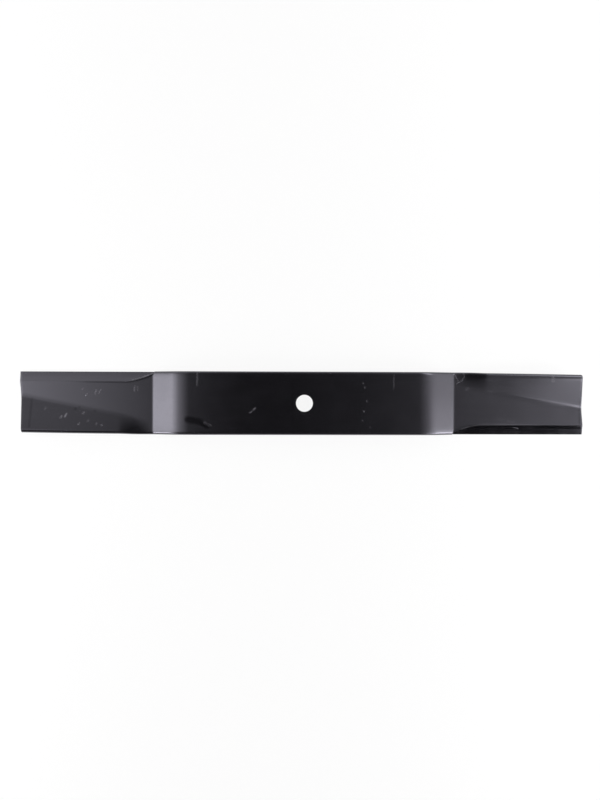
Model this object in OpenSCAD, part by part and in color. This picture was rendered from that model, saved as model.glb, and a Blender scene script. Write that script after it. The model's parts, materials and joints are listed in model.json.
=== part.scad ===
// Rotary mower blade: one flat steel bar, pressed and ground, with a bolt hole in its middle.
// +X runs along the bar, +Z up along the bolt. The origin is on the bolt's axis, level with
// the upper seat. Both arms are the same, half a turn apart. On the +X arm the cutting edge
// is at -Y and the lift flap at +Y, so the blade turns clockwise seen from above.

/* [Bar] */
// Length over the two leading corners
blade_length = 540; // [460:1:640]
// Width of the flat bar
bar_width = 60; // [50:1:80]
// Thickness of the flat bar
bar_thickness = 6; // [5:0.5:8]
// Radius of the bar's rolled long edges
edge_radius = 2.5; // [1:0.1:3]

/* [Bolt hole] */
// Diameter of the hole for the spindle bolt
bore_diameter = 16; // [10:0.5:25]

/* [Offset bends] */
// Distance from the hole's axis to the outer end of the bends
root_distance = 145; // [120:1:180]
// How far the wings lie below the middle of the bar
wing_drop = 12; // [8:0.5:18]
// Slope of the bar between its two bends, in degrees
slope_angle = 25; // [20:1:34]
// Radius of the inner bend, on the upper face
crown_radius = 43; // [20:1:60]
// Radius of the outer bend, on the upper face
root_radius = 5; // [2:0.5:12]

/* [Lift flap] */
// Angle of the flap at the bends, without its ramp, in degrees
lift_angle_root = 16.5; // [8:0.5:30]
// Angle of the flap at the tip, in degrees
lift_angle_tip = 22; // [8:0.5:35]
// Length over which the flap rises out of the flat wing
lift_ramp = 32; // [20:1:90]
// From the crease to the trailing edge, at the bends
crease_back_root = 13; // [9:0.5:20]
// From the crease to the trailing edge, at the tip
crease_back_tip = 35; // [20:0.5:42]
// Width of the crease's rounding, at the bends
crease_round_root = 5; // [3:0.5:8]
// Width of the crease's rounding, at the tip
crease_round_tip = 11; // [5:0.5:16]
// Slant of the end cut, which leaves the leading corner longer, in degrees
end_slant = 5; // [0:0.1:12]

/* [Cutting edge] */
// Width of the ground bevel, measured across the wing
bevel_width = 9.5; // [6:0.5:14]
// Thickness left at the cutting edge
edge_land = 1.2; // [0.3:0.1:2]
// Radius of the wheel whose rim ends the bevel at the bends
wheel_radius = 75; // [40:1:100]
// How far outside the bends the bevel starts, on the upper face
bevel_start = -5; // [-10:0.5:20]

/* [Hidden] */
blade_colour = "#1c1b20";
$fn = 96;

// Straight steps that stand for each curve
edge_steps = 4;
crown_steps = 8;
root_steps = 5;
wing_steps = 24;
crease_steps = 6;

// A rolled edge leaves a narrow upright face at the bar's half thickness
edge_share = 0.45;
edge_r = min(edge_radius, edge_share * bar_thickness);
half_width = bar_width / 2;
half_thickness = bar_thickness / 2;

// Radii of the two bends at half thickness, and the straight slope between them
crown_mid_r = crown_radius - half_thickness;
root_mid_r = root_radius + half_thickness;
bend_drop = (crown_mid_r + root_mid_r) * (1 - cos(slope_angle));
slope_length = (wing_drop - bend_drop) / sin(slope_angle);
bend_run = (crown_mid_r + root_mid_r) * sin(slope_angle) + slope_length * cos(slope_angle);
crown_start = root_distance - bend_run;
wing_length = blade_length / 2 - half_width * tan(end_slant) - root_distance;

// The bevel's plane falls from its inner line on the wing to the land at the cutting edge
bevel_angle = atan((bar_thickness - edge_land) / bevel_width);
wheel_overlap = 0.3;
cut_margin = 5;

function reversed(list) = [for (i = [len(list) - 1 : -1 : 0]) list[i]];
function between(a, b, share) = a + (b - a) * share;
function eased(share) = let (s = min(max(share, 0), 1)) s * s * (3 - 2 * s);
function radians(angle) = angle * PI / 180;

// One rolled edge as [distance from the bar's side, height above half thickness]
edge_curve = [
    for (i = [0 : edge_steps])
    let (a = 90 * i / edge_steps)
    [edge_r * (1 - cos(a)), half_thickness - edge_r * (1 - sin(a))]
];

// The lift flap at a share of the wing's length, 0 at the bends and 1 at the tip. A fold of
// flat_angle is flat to well under a thousandth of a millimetre
flat_angle = 1e-4;
function lift_angle(share) =
    between(lift_angle_root, lift_angle_tip, share) * eased(share * wing_length / lift_ramp);
function crease_round(share) = between(crease_round_root, crease_round_tip, share);
function crease_start(share) =
    half_width - between(crease_back_root, crease_back_tip, share) - crease_round(share) / 2;

// The upper half of the flat bar's section, from the leading to the trailing edge
function section(share) = concat(
    [for (p = edge_curve) [p[0] - half_width, p[1]]],
    [for (i = [0 : crease_steps])
        [crease_start(share) + crease_round(share) * i / crease_steps, half_thickness]],
    [for (p = reversed(edge_curve)) [half_width - p[0], p[1]]]
);

// A point of the flat section, folded up along the crease, as [across, up]
function folded(point, share) =
    let (
        angle = max(lift_angle(share), flat_angle),
        past_start = max(point[0] - crease_start(share), 0),
        on_round = min(past_start, crease_round(share)),
        past_round = past_start - on_round,
        turn = angle * on_round / crease_round(share),
        round_r = crease_round(share) / radians(angle)
    )
    [
        point[0] - past_start + round_r * sin(turn) + past_round * cos(angle) - point[1] * sin(turn),
        round_r * (1 - cos(turn)) + past_round * sin(angle) + point[1] * cos(turn)
    ];

// Stations along the +X arm: [distance out, height at half thickness, slope, share of the wing]
crown_stations = [
    for (i = [0 : crown_steps])
    let (a = slope_angle * i / crown_steps)
    [crown_start + crown_mid_r * sin(a), -half_thickness - crown_mid_r * (1 - cos(a)), a, 0]
];
root_stations = [
    for (i = [0 : root_steps])
    let (a = slope_angle * (1 - i / root_steps))
    [root_distance - root_mid_r * sin(a),
        -half_thickness - wing_drop + root_mid_r * (1 - cos(a)), a, 0]
];
wing_stations = [
    for (i = [1 : wing_steps])
    let (share = i / wing_steps)
    [root_distance + wing_length * share, -half_thickness - wing_drop, 0, share]
];
arm_stations = concat(crown_stations, root_stations, wing_stations);

function placed(station, point) =
    let (q = folded(point, station[3]))
    [
        station[0] + q[1] * sin(station[2]) - q[0] * tan(end_slant) * station[3],
        q[0],
        station[1] + q[1] * cos(station[2])
    ];

// A ring of the arm: its upper line from -Y to +Y, then its lower line back
function ring(station) = concat(
    [for (p = section(station[3])) placed(station, p)],
    [for (p = reversed(section(station[3]))) placed(station, [p[0], -p[1]])]
);

// The same ring half a turn round the bolt's axis, again starting at its upper -Y corner
function turned(points) =
    let (n = len(points))
    [for (i = [0 : n - 1]) let (p = points[(n + n / 2 - 1 - i) % n]) [-p[0], -p[1], p[2]]];

module lofted(rings) {
    n = len(rings[0]);
    last = len(rings) - 1;
    skin = [
        for (j = [0 : last - 1], i = [0 : n - 1])
        let (a = j * n + i, b = j * n + (i + 1) % n)
        each [[a, b, b + n], [a, b + n, a + n]]
    ];
    // An end is a strip of quads from its upper to its lower line
    ends = [
        for (i = [0 : n / 2 - 2])
        let (a = i, b = i + 1, c = n - 2 - i, d = n - 1 - i, far = last * n)
        each [[c, b, a], [d, c, a], [far + a, far + b, far + c], [far + a, far + c, far + d]]
    ];
    polyhedron(points = [for (r = rings) each r], faces = concat(skin, ends));
}

module pressed_bar() {
    arm = [for (s = arm_stations) ring(s)];
    lofted(concat(reversed([for (r = arm) turned(r)]), arm));
}

module bolt_hole() {
    translate([0, 0, -bar_thickness - cut_margin])
        cylinder(d = bore_diameter, h = bar_thickness + 2 * cut_margin);
}

// What the wheel takes off the +X arm: a slab on the bevel's plane, with the rim at its end.
// At edge_y the rim comes out of the upper face at the bar's side
module bevel_cut() {
    wheel_y = wheel_overlap - wheel_radius;
    edge_y = -bevel_width * cos(bevel_angle);
    wheel_x = root_distance + bevel_start + sqrt(pow(wheel_radius, 2) - pow(edge_y - wheel_y, 2));
    translate([0, bevel_width - half_width, -wing_drop])
        rotate([bevel_angle, 0, 0])
        linear_extrude(bar_thickness + cut_margin) {
            translate([wheel_x, wheel_y])
                circle(wheel_radius);
            translate([wheel_x, wheel_y])
                square([blade_length / 2 + cut_margin - wheel_x, wheel_radius]);
        }
}

module mower_blade() {
    color(blade_colour)
        difference() {
            pressed_bar();
            bolt_hole();
            for (turn = [0, 180])
                rotate(turn)
                    bevel_cut();
        }
}

mower_blade();
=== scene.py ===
"""The looks of a rotary mower blade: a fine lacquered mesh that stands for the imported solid, on a
white floor under one wide soft light panel. Places are in metres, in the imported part's frame."""
import functools
import json
import math

import bmesh
import bpy
import numpy as np
from mathutils import Matrix, Vector


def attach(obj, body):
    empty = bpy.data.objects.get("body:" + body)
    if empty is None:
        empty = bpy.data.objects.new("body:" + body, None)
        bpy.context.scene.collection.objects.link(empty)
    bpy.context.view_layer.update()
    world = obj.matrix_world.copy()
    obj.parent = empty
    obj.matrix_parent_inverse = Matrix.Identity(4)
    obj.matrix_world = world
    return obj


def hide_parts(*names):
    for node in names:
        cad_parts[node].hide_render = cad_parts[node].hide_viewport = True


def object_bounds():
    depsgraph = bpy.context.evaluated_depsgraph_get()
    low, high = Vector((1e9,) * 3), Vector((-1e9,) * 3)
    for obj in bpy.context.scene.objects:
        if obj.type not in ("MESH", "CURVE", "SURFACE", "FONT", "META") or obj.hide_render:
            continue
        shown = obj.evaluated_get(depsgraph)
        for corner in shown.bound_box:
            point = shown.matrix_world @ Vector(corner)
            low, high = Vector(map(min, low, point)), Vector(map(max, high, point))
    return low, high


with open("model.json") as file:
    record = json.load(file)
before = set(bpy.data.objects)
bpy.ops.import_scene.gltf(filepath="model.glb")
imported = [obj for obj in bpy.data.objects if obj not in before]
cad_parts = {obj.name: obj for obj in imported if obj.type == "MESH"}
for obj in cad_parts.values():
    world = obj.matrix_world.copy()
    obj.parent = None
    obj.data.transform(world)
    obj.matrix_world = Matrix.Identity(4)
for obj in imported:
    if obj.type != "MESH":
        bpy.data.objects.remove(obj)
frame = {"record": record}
cad_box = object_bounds()

MM = 0.001
NODE = "mower_blade"
SEED = 11

# The blade's form, as in its source
BLADE_LENGTH = 540 * MM
BAR_WIDTH = 60 * MM
BAR_THICKNESS = 6 * MM
EDGE_RADIUS = 2.5 * MM
ROOT_DISTANCE = 145 * MM
WING_DROP = 12 * MM
SLOPE_ANGLE = math.radians(25)
CROWN_RADIUS = 43 * MM
ROOT_RADIUS = 5 * MM
LIFT_ANGLE = (math.radians(16.5), math.radians(22))
LIFT_RAMP = 32 * MM
CREASE_BACK = (13 * MM, 35 * MM)
CREASE_ROUND = (5 * MM, 11 * MM)
END_SLANT = math.radians(5)
BEVEL_WIDTH = 9.5 * MM
EDGE_LAND = 1.2 * MM
WHEEL_RADIUS = 75 * MM
WHEEL_OVERLAP = 0.3 * MM
BEVEL_START = -5 * MM

# Finer form than the solid has: the bar's rolled faces fall off towards its sides and are a little
# uneven, the bevel is slightly hollow, with a lip of lacquer along the line where the grinding
# wheel's rim ended, and corners are softened
ROLL_WIDTH = 6 * MM
ROLL_DEPTH = 0.12 * MM
RIM_WIDTH = 0.6 * MM
RIM_MARGIN = 2.6 * MM
HOLLOW_DEPTH = 0.12 * MM
LIP_HEIGHT = 0.5 * MM
LIP_WIDTH = 2.4 * MM
LIP_REACH = (40 * MM, 110 * MM)
END_ROUND = 0.4 * MM
BORE_ROUND = 0.2 * MM
WAVE_DEPTH = 0.05 * MM
WAVE_LENGTHS = (22 * MM, 70 * MM)
WAVE_COUNT = 7
WAVE_CALM = (16 * MM, 40 * MM)

# Derived sizes. CROWN_MID and ROOT_MID are the bends' radii at half thickness, and WING_MID is the
# height of the wings there
HALF_WIDTH = BAR_WIDTH / 2
HALF_THICKNESS = BAR_THICKNESS / 2
FLAT_EDGE = HALF_WIDTH - EDGE_RADIUS
CROWN_MID = CROWN_RADIUS - HALF_THICKNESS
ROOT_MID = ROOT_RADIUS + HALF_THICKNESS
BEND_DROP = (CROWN_MID + ROOT_MID) * (1 - math.cos(SLOPE_ANGLE))
SLOPE_LENGTH = (WING_DROP - BEND_DROP) / math.sin(SLOPE_ANGLE)
BEND_RUN = (CROWN_MID + ROOT_MID) * math.sin(SLOPE_ANGLE) + SLOPE_LENGTH * math.cos(SLOPE_ANGLE)
CROWN_START = ROOT_DISTANCE - BEND_RUN
WING_LENGTH = BLADE_LENGTH / 2 - HALF_WIDTH * math.tan(END_SLANT) - ROOT_DISTANCE
WING_END = WING_LENGTH - END_ROUND
WING_MID = -HALF_THICKNESS - WING_DROP
BEVEL_ANGLE = math.atan((BAR_THICKNESS - EDGE_LAND) / BEVEL_WIDTH)
BEVEL_INNER = BEVEL_WIDTH - HALF_WIDTH
RIM_Y = WHEEL_OVERLAP - WHEEL_RADIUS
RIM_REACH = math.sqrt(WHEEL_RADIUS**2 - (BEVEL_WIDTH * math.cos(BEVEL_ANGLE) + RIM_Y) ** 2)
RIM_X = ROOT_DISTANCE + BEVEL_START + RIM_REACH
MOUNTS = {mount["name"]: mount for mount in frame["record"]["mounts"]}
BORE_RADIUS = MOUNTS["spindle_bore"]["dims"]["r_mm"] * MM

# Lines of the mesh across the bar, and its steps along an arm
PLANE_POINTS = 8
RIM_POINTS = 7
TOP_POINTS = 6
EDGE_POINTS = PLANE_POINTS + RIM_POINTS + TOP_POINTS
LEADING_LINES = 12
CREASE_LINES = 11
TRAILING_LINES = 12
FACE_LINES = LEADING_LINES + CREASE_LINES + TRAILING_LINES
LINE_POINTS = FACE_LINES + 2 * EDGE_POINTS
RING_POINTS = 2 * LINE_POINTS
PATCH_CELLS = 12
PATCH_STEPS = PATCH_CELLS // 2
PATCH_HALF = 15 * MM
SIDE_LINES = (FACE_LINES - PATCH_CELLS - 1) // 2
PATCH_UPPER = EDGE_POINTS + SIDE_LINES
PATCH_LOWER = LINE_POINTS + PATCH_UPPER
FLAT_STEPS = 30
CROWN_STEPS = 16
SLOPE_STEPS = 8
ROOT_STEPS = 12
RUN_OUT = 34 * MM
RUN_OUT_STEPS = 34
WING_STEPS = 44
END_STEPS = 4
COLLAR_STEPS = 4
BORE_STEPS = 5

# The lower round of a side belongs to the section's upper line as far as LOW_ANGLE. The cutting
# edge is found among TIP_SAMPLES places, a fold of LEAST_FOLD is as good as flat, and corners over
# SHARP_ANGLE are shaded as edges
LOW_ANGLE = math.radians(40)
TIP_SAMPLES = 200
LEAST_FOLD = 1e-6
SHARP_ANGLE = math.radians(40)


def eased(share):
    share = np.clip(share, 0, 1)
    return share * share * (3 - 2 * share)


def between(pair, share):
    return pair[0] + (pair[1] - pair[0]) * share


def face_height(inset):
    """Half the bar's thickness, at a distance in from its side."""
    short = EDGE_RADIUS - np.clip(inset, 0, EDGE_RADIUS)
    arc = EDGE_RADIUS - np.sqrt(EDGE_RADIUS**2 - short**2)
    roll = ROLL_DEPTH * np.clip(1 - inset / ROLL_WIDTH, 0, 1) ** 2
    return HALF_THICKNESS - arc - roll


def arc_inset(angle):
    """How far in from the bar's side a point of its rolled edge is."""
    return EDGE_RADIUS * (1 - np.cos(angle))


def wave_field():
    """A function of the places along and across the bar, from 0 to 1, for its uneven faces."""
    rng = np.random.default_rng(SEED)
    length = rng.uniform(*WAVE_LENGTHS, WAVE_COUNT)
    heading = rng.uniform(0, math.pi, WAVE_COUNT)
    phase = rng.uniform(0, 2 * math.pi, WAVE_COUNT)

    def field(x, v):
        along = np.cos(heading) * x[..., None] + np.sin(heading) * v[..., None]
        waves = np.sin(2 * math.pi * along / length + phase).mean(-1)
        calm = eased((np.hypot(x, v) - WAVE_CALM[0]) / (WAVE_CALM[1] - WAVE_CALM[0]))
        return (0.5 + 0.5 * waves) * calm

    return field


unevenness = wave_field()


# A flat section is made of points v, n: v across the bar, and n up from its half thickness
def plain_edge():
    """The leading side of the unground bar, from its lower round up to its upper face, as v, n."""
    low = arc_inset(np.linspace(LOW_ANGLE, 0, PLANE_POINTS + 1)[:-1])
    top = arc_inset(np.linspace(0, math.pi / 2, TOP_POINTS + 1)[1:])
    side = np.linspace(-1, 1, RIM_POINTS) * face_height(0.0)
    inset = np.concatenate([low, np.zeros(RIM_POINTS), top])
    height = np.concatenate([-face_height(low), side, face_height(top)])
    return np.stack([inset - HALF_WIDTH, height], 1)


def rim_line(x):
    """Where the grinding wheel's rim ends the bevel on the upper face."""
    past = WHEEL_RADIUS**2 - max(RIM_X - x, 0) ** 2
    reach = RIM_Y + math.sqrt(max(past, 0))
    return BEVEL_INNER + min(reach, 0) / math.cos(BEVEL_ANGLE)


def lip(x, inward):
    """Height of the lacquer's ridge along the wheel's rim, strongest near the bend."""
    share = 1 - eased((x - ROOT_DISTANCE - LIP_REACH[0]) / (LIP_REACH[1] - LIP_REACH[0]))
    return LIP_HEIGHT * share * np.clip(1 - inward / (RIM_WIDTH + LIP_WIDTH), 0, 1) ** 2


def ground_edge(station):
    """The ground leading side there as v, n, or None where the wheel has not reached the bar."""
    x, mid, slope = station

    def plane(v):
        return (-WING_DROP - (BEVEL_INNER - v) * math.tan(BEVEL_ANGLE) - mid) / math.cos(slope)

    inset = np.linspace(0, EDGE_RADIUS, TIP_SAMPLES)
    gap = plane(inset - HALF_WIDTH) + face_height(inset)
    tip = np.interp(0, gap, inset) - HALF_WIDTH
    start = rim_line(x) - RIM_WIDTH / 2
    if start <= tip + RIM_WIDTH / 2:
        return None
    end = max(-FLAT_EDGE, start + RIM_WIDTH + RIM_MARGIN)
    v = np.concatenate([
        tip + (start - tip) * eased(np.linspace(0, 1, PLANE_POINTS + 1)[:-1]),
        np.linspace(start, start + RIM_WIDTH, RIM_POINTS),
        np.linspace(start + RIM_WIDTH, end, TOP_POINTS + 1)[1:],
    ])
    top = face_height(v + HALF_WIDTH) + lip(x, v - start)
    across = np.clip((v - tip) / (start - tip), 0, 1)
    bow = 4 * across * (1 - across)
    hollow = HOLLOW_DEPTH * bow * (start - tip) / BEVEL_WIDTH
    cut = np.minimum(plane(v) - hollow, top)
    return np.stack([v, cut + (top - cut) * eased((v - start) / RIM_WIDTH)], 1)


def wing_share(x):
    return np.clip((x - ROOT_DISTANCE) / WING_LENGTH, 0, 1)


def crease(share):
    """Where the crease's rounding starts and ends across the bar."""
    middle = HALF_WIDTH - between(CREASE_BACK, share)
    width = between(CREASE_ROUND, share)
    return middle - width / 2, middle + width / 2


def face_lines(x, first):
    """Places across the bar of the mesh lines on a face that starts at first."""
    start, end = crease(wing_share(x))
    wing = np.concatenate([
        np.linspace(first, start, LEADING_LINES + 1)[1:],
        np.linspace(start, end, CREASE_LINES + 1)[1:],
        np.linspace(end, FLAT_EDGE, TRAILING_LINES + 2)[1:-1],
    ])
    side = np.linspace(PATCH_HALF, FLAT_EDGE, SIDE_LINES + 2)[1:-1]
    patch = np.linspace(-PATCH_HALF, PATCH_HALF, PATCH_CELLS + 1)
    middle = np.concatenate([-side[::-1], patch, side])
    share = eased((x - PATCH_HALF) / (CROWN_START - PATCH_HALF))
    return middle + (wing - middle) * share


def section(station):
    """The flat section there as a closed line of v, n: its upper side, then its lower side back."""
    edge = ground_edge(station)
    low = LOW_ANGLE
    if edge is None:
        edge = plain_edge()
    else:
        low = math.acos(1 - (edge[0, 0] + HALF_WIDTH) / EDGE_RADIUS)
    far_edge = plain_edge()[::-1] * (-1, 1)
    upper_v = face_lines(station[0], edge[-1, 0])
    lower_v = face_lines(station[0], -FLAT_EDGE)[::-1]
    near_arc = arc_inset(np.linspace(low, math.pi / 2, EDGE_POINTS + 1)[:0:-1])
    far_arc = arc_inset(np.linspace(LOW_ANGLE, math.pi / 2, EDGE_POINTS + 1)[1:])

    def face(v, side):
        return np.stack([v, side * face_height(HALF_WIDTH - np.abs(v))], 1)

    return np.concatenate([
        edge, face(upper_v, 1), far_edge,
        face(HALF_WIDTH - far_arc, -1), face(lower_v, -1), face(near_arc - HALF_WIDTH, -1),
    ])


def shrunk(line, depth):
    """A closed line moved inward by depth."""
    along = np.roll(line, -1, 0) - np.roll(line, 1, 0)
    outward = np.stack([-along[:, 1], along[:, 0]], 1)
    return line - depth * outward / np.linalg.norm(outward, axis=1, keepdims=True)


def folded(line, share):
    """A flat section folded up along its crease, as across, up."""
    start, end = crease(share)
    angle = between(LIFT_ANGLE, share) * eased(share * WING_LENGTH / LIFT_RAMP)
    angle = max(angle, LEAST_FOLD)
    past = np.maximum(line[:, 0] - start, 0)
    on_round = np.minimum(past, end - start)
    beyond = past - on_round
    turn = angle * on_round / (end - start)
    radius = (end - start) / angle
    across = line[:, 0] - past + radius * np.sin(turn) + beyond * math.cos(angle)
    up = radius * (1 - np.cos(turn)) + beyond * math.sin(angle)
    return across - line[:, 1] * np.sin(turn), up + line[:, 1] * np.cos(turn)


def ring(station, inset=0.0):
    """A closed ring of the +X arm's surface."""
    x, mid, slope = station
    share = wing_share(x)
    line = section(station)
    waves = WAVE_DEPTH * unevenness(np.full(len(line), x), line[:, 0])
    line[:, 1] -= np.sign(line[:, 1]) * waves
    if inset:
        line = shrunk(line, inset)
    across, up = folded(line, share)
    out = x + up * math.sin(slope) - across * math.tan(END_SLANT) * share
    return np.stack([out, across, mid + up * math.cos(slope)], 1)


def arm_stations():
    """Stations along the +X arm: distance out, height at half thickness, slope."""
    half_patch = np.linspace(0, PATCH_HALF, PATCH_STEPS + 1)
    flat = np.linspace(PATCH_HALF, CROWN_START, FLAT_STEPS + 1)[1:-1]
    stations = [(x, -HALF_THICKNESS, 0.0) for x in np.concatenate([half_patch, flat])]
    for a in np.linspace(0, SLOPE_ANGLE, CROWN_STEPS + 1):
        stations.append((
            CROWN_START + CROWN_MID * math.sin(a),
            -HALF_THICKNESS - CROWN_MID * (1 - math.cos(a)), a,
        ))
    x, mid, _ = stations[-1]
    for run in np.linspace(0, SLOPE_LENGTH, SLOPE_STEPS + 1)[1:-1]:
        stations.append((
            x + run * math.cos(SLOPE_ANGLE),
            mid - run * math.sin(SLOPE_ANGLE), SLOPE_ANGLE,
        ))
    for a in np.linspace(SLOPE_ANGLE, 0, ROOT_STEPS + 1):
        stations.append((
            ROOT_DISTANCE - ROOT_MID * math.sin(a),
            WING_MID + ROOT_MID * (1 - math.cos(a)), a,
        ))
    near = np.linspace(0, RUN_OUT, RUN_OUT_STEPS + 1)[1:]
    far = np.linspace(RUN_OUT, WING_END, WING_STEPS + 1)[1:]
    for run in np.concatenate([near, far]):
        stations.append((ROOT_DISTANCE + run, WING_MID, 0.0))
    return stations


def arm_rings():
    """The rings of the +X arm, from the bolt hole's axis to the rounded corners of its end."""
    rings = [ring(station) for station in arm_stations()]
    for a in np.linspace(0, math.pi / 2, END_STEPS + 1)[1:]:
        x = ROOT_DISTANCE + WING_END + END_ROUND * math.sin(a)
        rings.append(ring((x, WING_MID, 0.0), END_ROUND * (1 - math.cos(a))))
    return rings


def turned(points):
    """A ring half a turn round the bolt hole's axis, starting again at its upper -Y side."""
    return np.concatenate([points[LINE_POINTS - 1::-1], points[:LINE_POINTS - 1:-1]]) * (-1, -1, 1)


def patch_loop():
    """Steps along and across the bar round the square patch that holds the hole."""
    h = PATCH_STEPS
    first = [(h, i) for i in range(h)]
    left = [(i, h) for i in range(h, -h, -1)]
    back = [(-h, i) for i in range(h, -h, -1)]
    right = [(i, -h) for i in range(-h, h)]
    last = [(h, i) for i in range(-h, 0)]
    return first + left + back + right + last


def bore_profile():
    """Radius and height of the bore's loops, from its upper to its lower rim."""
    turn = np.linspace(0, math.pi / 2, BORE_STEPS)
    out = BORE_RADIUS + BORE_ROUND * (1 - np.sin(turn))
    down = BORE_ROUND * (1 - np.cos(turn))
    upper = list(zip(out, -down))
    lower = [(r, -BAR_THICKNESS - z) for r, z in reversed(upper)]
    return upper + lower


def hole_loops(upper, lower):
    """New loops of points from the upper patch's edge, through the bore, to the lower one's."""
    angle = np.arange(len(upper)) * 2 * math.pi / len(upper)
    circle = np.stack([np.cos(angle), np.sin(angle), np.zeros(len(angle))], 1)
    bore = [circle * r + (0, 0, z) for r, z in bore_profile()]
    shares = np.linspace(0, 1, COLLAR_STEPS + 1)[1:-1]
    above = [upper + (bore[0] - upper) * share for share in shares]
    below = [lower + (bore[-1] - lower) * share for share in shares[::-1]]
    return above + bore + below


def skin_quads(ring_count):
    """Quads between the rings, open at the two patches that hold the hole."""
    middle = ring_count // 2
    open_columns = set(range(PATCH_UPPER, PATCH_UPPER + PATCH_CELLS))
    open_columns |= set(range(PATCH_LOWER, PATCH_LOWER + PATCH_CELLS))
    quads = []
    for j in range(ring_count - 1):
        in_patch = middle - PATCH_STEPS <= j < middle + PATCH_STEPS
        for i in range(RING_POINTS):
            if not (in_patch and i in open_columns):
                a = j * RING_POINTS + i
                b = j * RING_POINTS + (i + 1) % RING_POINTS
                quads.append((a, a + RING_POINTS, b + RING_POINTS, b))
    return quads


def end_quads(ring_count):
    """Quads that close both ends, from their upper to their lower lines."""
    far = (ring_count - 1) * RING_POINTS
    quads = []
    for i in range(LINE_POINTS - 1):
        cap = (i, i + 1, RING_POINTS - 2 - i, RING_POINTS - 1 - i)
        quads.append(cap)
        quads.append(tuple(far + c for c in reversed(cap)))
    return quads


def loop_quads(loops):
    """Quads between each closed loop of points and the next."""
    quads = []
    for one, two in zip(loops, loops[1:]):
        for i in range(len(one)):
            k = (i + 1) % len(one)
            quads.append((one[i], one[k], two[k], two[i]))
    return quads


def blade_mesh():
    """All points and quads of the blade."""
    arm = arm_rings()
    rings = [turned(r) for r in arm[:0:-1]] + arm
    points = np.concatenate(rings)
    middle = len(arm) - 1
    upper = [(middle + a) * RING_POINTS + PATCH_UPPER + PATCH_STEPS + c for a, c in patch_loop()]
    lower = [(middle + a) * RING_POINTS + PATCH_LOWER + PATCH_STEPS - c for a, c in patch_loop()]
    loops = [upper]
    for loop in hole_loops(points[upper], points[lower]):
        loops.append(list(range(len(points), len(points) + len(loop))))
        points = np.concatenate([points, loop])
    loops.append(lower)
    return points, skin_quads(len(rings)) + end_quads(len(rings)) + loop_quads(loops)


def build_blade():
    """The visible blade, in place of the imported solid."""
    points, quads = blade_mesh()
    mesh = bpy.data.meshes.new("blade_surface")
    mesh.from_pydata(points.tolist(), [], quads)
    work = bmesh.new()
    work.from_mesh(mesh)
    # The points inside the two patches are in no face
    bmesh.ops.delete(work, geom=[v for v in work.verts if not v.link_faces], context="VERTS")
    bmesh.ops.recalc_face_normals(work, faces=work.faces)
    if work.calc_volume(signed=True) < 0:
        bmesh.ops.reverse_faces(work, faces=work.faces)
    work.to_mesh(mesh)
    work.free()
    mesh.shade_smooth()
    mesh.set_sharp_from_angle(angle=SHARP_ANGLE)
    blade = bpy.data.objects.new("blade_surface", mesh)
    bpy.context.scene.collection.objects.link(blade)
    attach(blade, "root")
    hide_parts(NODE)
    return blade


# The Mix node's sockets for colours
MIX_ONE = 6
MIX_TWO = 7
MIX_RESULT = 2


def add(tree, kind, inputs=None, **settings):
    """A new node. inputs pairs a socket's name or number with a value, or with a socket to link."""
    made = tree.nodes.new("ShaderNode" + kind)
    for key, value in settings.items():
        setattr(made, key, value)
    for socket, value in (inputs or {}).items():
        if isinstance(value, bpy.types.NodeSocket):
            tree.links.new(value, made.inputs[socket])
        else:
            made.inputs[socket].default_value = value
    return made


def math_node(tree, operation, *values):
    return add(tree, "Math", dict(enumerate(values)), operation=operation).outputs[0]


def vector_node(tree, operation, *values):
    return add(tree, "VectorMath", dict(enumerate(values)), operation=operation).outputs[0]


def dot_node(tree, one, two):
    return add(tree, "VectorMath", {0: one, 1: two}, operation="DOT_PRODUCT").outputs["Value"]


def scaled_node(tree, vector, factor):
    return add(tree, "VectorMath", {0: vector, "Scale": factor}, operation="SCALE").outputs[0]


def length_node(tree, vector):
    return add(tree, "VectorMath", {0: vector}, operation="LENGTH").outputs["Value"]


def mixed(tree, share, one, two):
    """A colour between one and two."""
    inputs = {0: share, MIX_ONE: one, MIX_TWO: two}
    return add(tree, "Mix", inputs, data_type="RGBA").outputs[MIX_RESULT]


def remapped(tree, value, start, end, low, high):
    """value from start to end, as low to high with soft ends, and held beyond them."""
    inputs = {"Value": value, "From Min": start, "From Max": end, "To Min": low, "To Max": high}
    return add(tree, "MapRange", inputs, interpolation_type="SMOOTHSTEP").outputs[0]


def new_material(name):
    material = bpy.data.materials.new(name)
    material.use_nodes = True
    material.node_tree.nodes.clear()
    return material, material.node_tree


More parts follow.
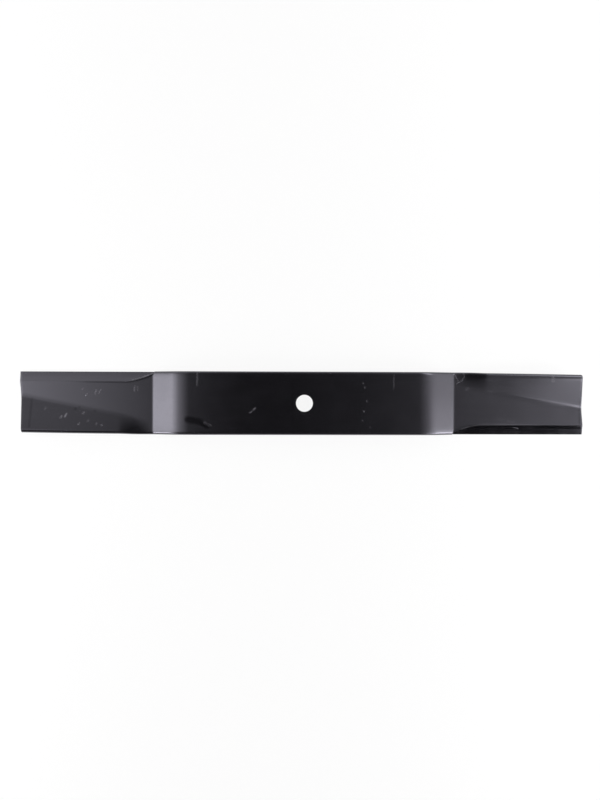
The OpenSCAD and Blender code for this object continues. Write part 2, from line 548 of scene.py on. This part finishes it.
# Marks on the upper face, in millimetres: where each starts, how far it runs along X and Y, its
# width and how strong it is. Pale ones are scuffs, except two that are a painted highlight along
# the left bevel's rim line; dull ones are runs and smears in the lacquer
SCUFF_AND_HIGHLIGHT_MARKS = (
    (-210.5, 13, 0.5, 0.5, 1.8, 0.35), (-207, 7, 1, 1.5, 1.4, 0.35), (-198.5, 8.5, 1, 3.5, 1.4, 0.4),
    (-195, 9, 2, 3.5, 1.2, 0.35), (-226, -13, 1.5, 2.5, 1.6, 0.8), (-230, -14, 1, 1.5, 1.6, 0.5),
    (-209.5, -10, 0.5, 0.8, 1.8, 0.55), (-213, -20.5, 1, 1.8, 1.4, 0.55),
    (-204.5, -17, 0.5, 0.5, 1.8, 0.4), (-196.5, -20, 0.3, 0.3, 1.8, 0.4),
    (-192, -21, 0.5, 0.2, 1.6, 0.35), (-245, -6, 0.5, 1.5, 1.6, 0.25),
    (-161.5, 11.5, 0.5, 4.5, 1.4, 0.4), (-158.5, 12, 0.3, 3.5, 1.2, 0.25),
    # These two marks are a painted highlight: a pale line along the lacquer's lip where the left bevel's
    # grinding ends
    (-164, 22, 11, 2.8, 1, 0.4), (-153, 24.8, 9, 3.6, 1.1, 1),
    (-51.5, -9, 5, 4.5, 1.4, 0.5), (-101, 28, 0, -11, 1.5, 0.35), (84.5, 27, 0, -14, 1.3, 0.2),
    (-94, -18.5, 5.5, -2.5, 2.2, 0.25),
    (57, 15.5, 0.3, -0.6, 1.4, 0.35), (59, 2.7, 0.2, -0.8, 1.4, 0.35), (56, -7.2, 0.2, -0.5, 1.5, 0.4),
    (54.7, -16, 0.3, -0.3, 1.3, 0.3), (62, -22.5, 0.2, -0.4, 1.3, 0.3), (55.2, 20, 0.2, -1.2, 1.2, 0.3),
    (237.5, 25.5, 0.2, -3.5, 2.6, 0.28), (153.3, 28.8, 0.7, -3, 1.2, 0.3),
    (154, 25.8, -1.5, -3, 1.2, 0.35), (152.5, 22.8, -3, -2.2, 1.2, 0.35),
    (149.5, 20.6, -2.6, -1.3, 1.2, 0.35), (145.2, 26.8, 2.9, -4.8, 1.1, 0.35),
    (156.5, 13.8, 1.2, 0.3, 2.4, 0.2), (177, 12, 3, -0.4, 1.1, 0.14), (202, -22.8, 5, -1.4, 0.8, 0.4),
    (187, -14.5, 4, -1, 2.2, 0.07), (196, -16.5, 6, -0.8, 2.2, 0.07),
)
DULL_MARKS = (
    (-217, -6, 0.3, 0.8, 1.6, 0.5), (-213.5, -4.5, 0.3, 0.6, 1.4, 0.4), (-199, -8, 0.4, 0.6, 1.5, 0.4),
    (-258, 3.5, 0, -26, 2, 0.25), (-110, -15.5, 11, -2, 5.5, 0.9), (-98, -18.5, 6, -3, 4.5, 0.9),
    (-11.3, 21, 0, -42, 1.4, 0.4), (265.5, 24, 0.8, -44, 1.2, 0.4), (159, 26.5, 13, 0.5, 6, 0.6),
    (160, -22, 104, 0.3, 1.8, 0.8), (-264, -28.5, 112, -1, 3.4, 0.55), (160, -26.5, 16, 1, 6, 0.8),
)

# A mark fades out from MARK_CORE to MARK_REACH, as shares of its width. Its line wanders, it lies only
# on faces that look up, and a pale one is broken up by the lacquer's fine grain
MARK_CORE = 0.25
MARK_REACH = 0.85
WANDER_SIZE = 2.0
WANDER_REACH = 1.6
NOISE_MIDDLE = 0.5
UPWARD = (0.2, 0.5)
BROKEN = (0.36, 0.56)
BROKEN_LEAST = 0.45

# The lacquer, with the sizes of its patterns in millimetres
# The grey of the pale marks, used for bare scuffs and for the painted highlight along the left bevel's rim
SCUFF_AND_HIGHLIGHT_COLOUR = (0.13, 0.125, 0.14, 1)
LACQUER_COLOURS = ((0.0024, 0.0022, 0.0029, 1), (0.0044, 0.0042, 0.0052, 1))
LACQUER_TINT = (0.89, 0.865, 1, 1)
LACQUER_IOR = 1.8
GLOSS = 0.5
DULL_LOSS = 0.4
ROUGHNESS = (0.13, 0.23)
ROUGH_PATTERN = (0.75, 1.3)
PALE_ROUGHNESS = 0.25
CLOUD_SIZE = 22
CLOUD_DETAIL = 4.0
FINE_DETAIL = 2.0
PEEL_SIZE = 1.5
PEEL_DEPTH = 0.009 * MM
DRAW_SIZE = 1.6
DRAW_STRETCH = 0.03
DRAW_DEPTH = 0.003 * MM
RUN_DEPTH = 0.05 * MM


def segment_group():
    """A node group that masks the places near a straight mark."""
    tree = bpy.data.node_groups.new("mark", "ShaderNodeTree")
    kinds = {"Vector": "Vector", "Start": "Vector", "Run": "Vector", "Width": "Float", "Strength": "Float"}
    for name, kind in kinds.items():
        tree.interface.new_socket(name, in_out="INPUT", socket_type="NodeSocket" + kind)
    tree.interface.new_socket("Mask", in_out="OUTPUT", socket_type="NodeSocketFloat")
    given = tree.nodes.new("NodeGroupInput").outputs
    off = vector_node(tree, "SUBTRACT", given["Vector"], given["Start"])
    run_squared = dot_node(tree, given["Run"], given["Run"])
    share = math_node(tree, "DIVIDE", dot_node(tree, off, given["Run"]), run_squared)
    share = math_node(tree, "MINIMUM", math_node(tree, "MAXIMUM", share, 0.0), 1.0)
    along = scaled_node(tree, given["Run"], share)
    gap = length_node(tree, vector_node(tree, "SUBTRACT", off, along))
    reach = math_node(tree, "MULTIPLY", given["Width"], MARK_REACH)
    core = math_node(tree, "MULTIPLY", given["Width"], MARK_CORE)
    mask = remapped(tree, gap, reach, core, 0.0, given["Strength"])
    made = tree.nodes.new("NodeGroupOutput")
    tree.links.new(mask, made.inputs["Mask"])
    return tree


def marks_mask(tree, group, place, marks):
    """The strongest of the marks at each place."""
    total = None
    for x, y, run_x, run_y, width, strength in marks:
        node = tree.nodes.new("ShaderNodeGroup")
        node.node_tree = group
        tree.links.new(place, node.inputs["Vector"])
        node.inputs["Start"].default_value = (x, y, 0)
        node.inputs["Run"].default_value = (run_x, run_y, 0)
        node.inputs["Width"].default_value = width
        node.inputs["Strength"].default_value = strength
        mask = node.outputs[0]
        total = mask if total is None else math_node(tree, "MAXIMUM", total, mask)
    return total


def noise_node(tree, place, size, detail):
    return add(tree, "TexNoise", {"Vector": place, "Scale": 1 / size, "Detail": detail})


def lacquer_marks(tree, place, upward, grain):
    """The masks of the pale and the dull marks."""
    wander = noise_node(tree, place, WANDER_SIZE, FINE_DETAIL).outputs["Color"]
    wander = vector_node(tree, "SUBTRACT", wander, (NOISE_MIDDLE,) * 3)
    flat = vector_node(tree, "MULTIPLY_ADD", wander, (WANDER_REACH,) * 3, place)
    flat = vector_node(tree, "MULTIPLY", flat, (1, 1, 0))
    above = remapped(tree, upward, *UPWARD, 0.0, 1.0)
    broken = remapped(tree, grain, *BROKEN, BROKEN_LEAST, 1.0)
    group = segment_group()
    pale = math_node(tree, "MULTIPLY", marks_mask(tree, group, flat, SCUFF_AND_HIGHLIGHT_MARKS), above)
    pale = math_node(tree, "MULTIPLY", pale, broken)
    dull = math_node(tree, "MULTIPLY", marks_mask(tree, group, flat, DULL_MARKS), above)
    return pale, dull


def lacquer():
    """Glossy black dip lacquer with a few scuffs, runs and smears, and a painted highlight along the left
    bevel's rim.
    """
    material, tree = new_material("black_lacquer")
    coords = add(tree, "TexCoord")
    place = scaled_node(tree, coords.outputs["Object"], 1 / MM)
    upward = add(tree, "SeparateXYZ", {0: coords.outputs["Normal"]}).outputs[2]
    drawn_place = vector_node(tree, "MULTIPLY", place, (DRAW_STRETCH, 1, 1))
    cloud = noise_node(tree, place, CLOUD_SIZE, CLOUD_DETAIL).outputs[0]
    peel = noise_node(tree, place, PEEL_SIZE, FINE_DETAIL).outputs[0]
    drawn = noise_node(tree, drawn_place, DRAW_SIZE, FINE_DETAIL).outputs[0]
    pale, dull = lacquer_marks(tree, place, upward, peel)

    colour = mixed(tree, cloud, *LACQUER_COLOURS)
    # The pale marks lighten the colour: scuffs, and a painted highlight along the left bevel's rim
    colour = mixed(tree, pale, colour, SCUFF_AND_HIGHLIGHT_COLOUR)
    pattern = math_node(tree, "ADD", cloud, drawn)
    rough = remapped(tree, pattern, *ROUGH_PATTERN, *ROUGHNESS)
    rough = math_node(tree, "MULTIPLY_ADD", pale, PALE_ROUGHNESS, rough)
    gloss = math_node(tree, "MULTIPLY_ADD", dull, -DULL_LOSS, GLOSS)
    height = math_node(tree, "MULTIPLY", peel, PEEL_DEPTH)
    height = math_node(tree, "MULTIPLY_ADD", drawn, DRAW_DEPTH, height)
    height = math_node(tree, "MULTIPLY_ADD", dull, RUN_DEPTH, height)
    bump = add(tree, "Bump", {"Strength": 1.0, "Distance": 1.0, "Height": height}).outputs[0]
    shader = add(tree, "BsdfPrincipled", {
        "Base Color": colour, "Roughness": rough, "Specular IOR Level": gloss, "Normal": bump,
        "IOR": LACQUER_IOR, "Specular Tint": LACQUER_TINT,
    })
    add(tree, "OutputMaterial", {"Surface": shader.outputs[0]})
    return material


# The studio's floor and wall
FLOOR_RADIUS = 3.0
WALL_HEIGHT = 1.4
COVE_RADIUS = 0.5
COVE_STEPS = 8
ROUND_STEPS = 96
FLOOR_GLOW = 0.9
FLOOR_COLOUR = (0.9, 0.9, 0.9, 1)
WHITE = (1, 1, 1, 1)
ROOM_COLOUR = (0.05, 0.05, 0.055, 1)


def floor_material():
    """White to the camera and in reflections, and a pale matt floor to the light."""
    material, tree = new_material("studio_floor")
    path = add(tree, "LightPath")
    seen = math_node(tree, "MAXIMUM", path.outputs["Is Camera Ray"], path.outputs["Is Glossy Ray"])
    seen = math_node(tree, "MAXIMUM", seen, path.outputs["Is Transmission Ray"])
    share = math_node(tree, "MULTIPLY", seen, FLOOR_GLOW)
    matt = add(tree, "BsdfDiffuse", {"Color": FLOOR_COLOUR})
    glow = add(tree, "Emission", {"Color": WHITE, "Strength": 1.0})
    front = add(tree, "MixShader", {0: share, 1: matt.outputs[0], 2: glow.outputs[0]})
    back = add(tree, "BsdfTransparent")
    below = add(tree, "NewGeometry").outputs["Backfacing"]
    both = add(tree, "MixShader", {0: below, 1: front.outputs[0], 2: back.outputs[0]})
    add(tree, "OutputMaterial", {"Surface": both.outputs[0]})
    return material


def build_floor(height):
    """A round floor that turns up into a low wall."""
    turn = np.linspace(0, math.pi / 2, COVE_STEPS + 1)
    flat = FLOOR_RADIUS - COVE_RADIUS
    cove = [(flat + COVE_RADIUS * math.sin(a), COVE_RADIUS * (1 - math.cos(a))) for a in turn]
    profile = [(flat / 2, 0.0)] + cove + [(FLOOR_RADIUS, WALL_HEIGHT)]
    angle = np.arange(ROUND_STEPS) * 2 * math.pi / ROUND_STEPS
    points = [(r * math.cos(a), r * math.sin(a), height + z) for r, z in profile for a in angle]
    faces = [tuple(range(ROUND_STEPS))]
    for j in range(len(profile) - 1):
        for i in range(ROUND_STEPS):
            a = j * ROUND_STEPS + i
            b = j * ROUND_STEPS + (i + 1) % ROUND_STEPS
            faces.append((a, a + ROUND_STEPS, b + ROUND_STEPS, b))
    mesh = bpy.data.meshes.new("studio_floor")
    mesh.from_pydata(points, [], faces)
    mesh.shade_smooth()
    mesh.materials.append(floor_material())
    floor = bpy.data.objects.new("studio_floor", mesh)
    bpy.context.scene.collection.objects.link(floor)


# One wide light panel above the blade, dark in its middle. Each light on it is a level and the
# places along X or Y between which it comes up to that level. Those that are used as dimmed start
# from 1 instead, and lower another light to a share of itself
TENT_HEIGHT = 0.35
TENT_X = 1.4
TENT_Y = (-1.2, 0.9)
MIDDLE_LIGHT = 0.06
MIDDLE_RISE = (0.04, -0.02, 0.08)

# The left light, weaker to the back and to the front
LEFT_LIGHT = (2.5, -0.06, -0.56)
LEFT_FALL = (0.72, 0.0, 0.13)
LEFT_EDGE = (0.17, 0.125, 0.155)
LEFT_SOUTH = (0.1, -0.04, -0.15)
LEFT_STEP = (0.8, -0.34, -0.44)
FAR_LEFT_LIGHT = (1.0, -0.45, -0.56)

# The right light, stronger where the flap looks, with a spot, and a strip that the crease mirrors
RIGHT_LIGHT = (1.54, 0.06, 0.64)
RIGHT_RISE = (0.95, 0.22, 0.36)
RIGHT_RISE_FROM = (1.0, -0.18, -0.28)
SPOT_LIGHT = (1.3, 0.33, 0.55)
SPOT_FROM = (1.0, 0.04, -0.09)
STRIP_LIGHT = (4.6, 0.26, 0.42)
RIGHT_END = (0.0, 0.42, 0.55)
STRIP_FROM = (1.0, -0.19, -0.23)
STRIP_TO = (0.0, -0.23, -0.33)

# Where the side lights end, the two front corners, and the lights that the back edge mirrors
SOUTH_GAP = (0.0, -0.37, -0.47)
FRONT_LIGHT = (11.0, 0.55, 0.95)
FRONT_FROM = (1.0, -0.05, -0.38)
BACK_LIGHT = (0.45, 0.1, 0.16)
FAR_BACK_LIGHT = (0.5, 0.4, 0.52)
BACK_SIDE = (0.15, -0.28, -0.06)
RIGHT_BACK_LIGHT = (3.2, 0.25, 0.4)
RIGHT_BACK_FROM = (1.0, 0.03, 0.2)


def tent_strength(tree):
    """The panel's brightness at each place: its middle, its sides, the front corners and the back."""
    place = add(tree, "SeparateXYZ", {0: add(tree, "TexCoord").outputs["Object"]})
    x = place.outputs[0]
    y = place.outputs[1]

    def light(value, setting, base=0.0):
        level, start, end = setting
        return remapped(tree, value, start, end, base, level)

    def dimmed(value, setting):
        return light(value, setting, 1.0)

    def product(*values):
        return functools.reduce(lambda a, b: math_node(tree, "MULTIPLY", a, b), values)

    def total(*values):
        return functools.reduce(lambda a, b: math_node(tree, "ADD", a, b), values)

    middle = total(light(x, MIDDLE_RISE), MIDDLE_LIGHT)
    near_left = product(light(x, LEFT_LIGHT), dimmed(y, LEFT_SOUTH))
    left = total(near_left, light(x, LEFT_STEP))
    left = product(left, dimmed(y, LEFT_FALL), dimmed(y, LEFT_EDGE))
    far_left = light(x, FAR_LEFT_LIGHT)
    rise = product(light(x, RIGHT_RISE), light(y, RIGHT_RISE_FROM))
    right = product(light(x, RIGHT_LIGHT), total(rise, 1.0))
    spot = product(light(x, SPOT_LIGHT), light(y, SPOT_FROM))
    strip = product(light(x, STRIP_LIGHT), dimmed(x, RIGHT_END))
    strip = product(strip, light(y, STRIP_FROM), dimmed(y, STRIP_TO))
    sides = product(total(left, far_left, right, spot, strip, middle), dimmed(y, SOUTH_GAP))
    front = product(light(math_node(tree, "ABSOLUTE", x), FRONT_LIGHT), light(y, FRONT_FROM))
    back = product(total(light(y, BACK_LIGHT), light(y, FAR_BACK_LIGHT)), dimmed(x, BACK_SIDE))
    right_back = product(light(x, RIGHT_BACK_LIGHT), dimmed(x, RIGHT_END), light(y, RIGHT_BACK_FROM))
    return total(sides, front, back, right_back)


def build_tent():
    """The light panel, which the camera doesn't see."""
    material, tree = new_material("light_tent")
    glow = add(tree, "Emission", {"Color": WHITE, "Strength": tent_strength(tree)})
    add(tree, "OutputMaterial", {"Surface": glow.outputs[0]})
    corners = [(x, y, TENT_HEIGHT) for x, y in (
        (-TENT_X, TENT_Y[0]), (-TENT_X, TENT_Y[1]), (TENT_X, TENT_Y[1]), (TENT_X, TENT_Y[0]),
    )]
    mesh = bpy.data.meshes.new("light_tent")
    mesh.from_pydata(corners, [], [(0, 1, 2, 3)])
    mesh.materials.append(material)
    tent = bpy.data.objects.new("light_tent", mesh)
    tent.visible_camera = False
    bpy.context.scene.collection.objects.link(tent)


def build_room():
    """The dark room above the studio."""
    world = bpy.data.worlds.new("room")
    world.use_nodes = True
    world.node_tree.nodes["Background"].inputs["Color"].default_value = ROOM_COLOUR
    bpy.context.scene.world = world


# The camera: from straight above, a little to the left, on the photograph's frame
IMAGE_HEIGHT_PX = 800
SENSOR = 36.0
CAMERA_DISTANCE = 0.87
CAMERA_LEAN = (math.radians(-2.1), math.radians(0.3))
CAMERA_ROLL = math.radians(0.15)
SCALE_M_PER_PX = 0.943 * MM
HOLE_PX_FROM_CENTRE = (4.5, 3.3)


def build_camera():
    data = bpy.data.cameras.new("camera")
    data.sensor_width = SENSOR
    data.lens = CAMERA_DISTANCE / SCALE_M_PER_PX * SENSOR / IMAGE_HEIGHT_PX
    camera = bpy.data.objects.new("camera", data)
    east, north = (math.sin(lean) for lean in CAMERA_LEAN)
    at = Vector((east, north, math.sqrt(1 - east**2 - north**2))) * CAMERA_DISTANCE
    right, down = (px * SCALE_M_PER_PX for px in HOLE_PX_FROM_CENTRE)
    back = (at - Vector((-right, down, 0))).normalized()
    side = Vector((0, 1, 0)).cross(back).normalized()
    turn = Matrix.Rotation(CAMERA_ROLL, 4, "Z")
    camera.matrix_world = Matrix((side, back.cross(side), back)).transposed().to_4x4() @ turn
    camera.location = at
    bpy.context.scene.collection.objects.link(camera)
    bpy.context.scene.camera = camera


blade = build_blade()
blade.data.materials.append(lacquer())
build_floor(cad_box[0].z)
build_tent()
build_room()
build_camera()
bpy.context.scene.view_settings.view_transform = "Standard"
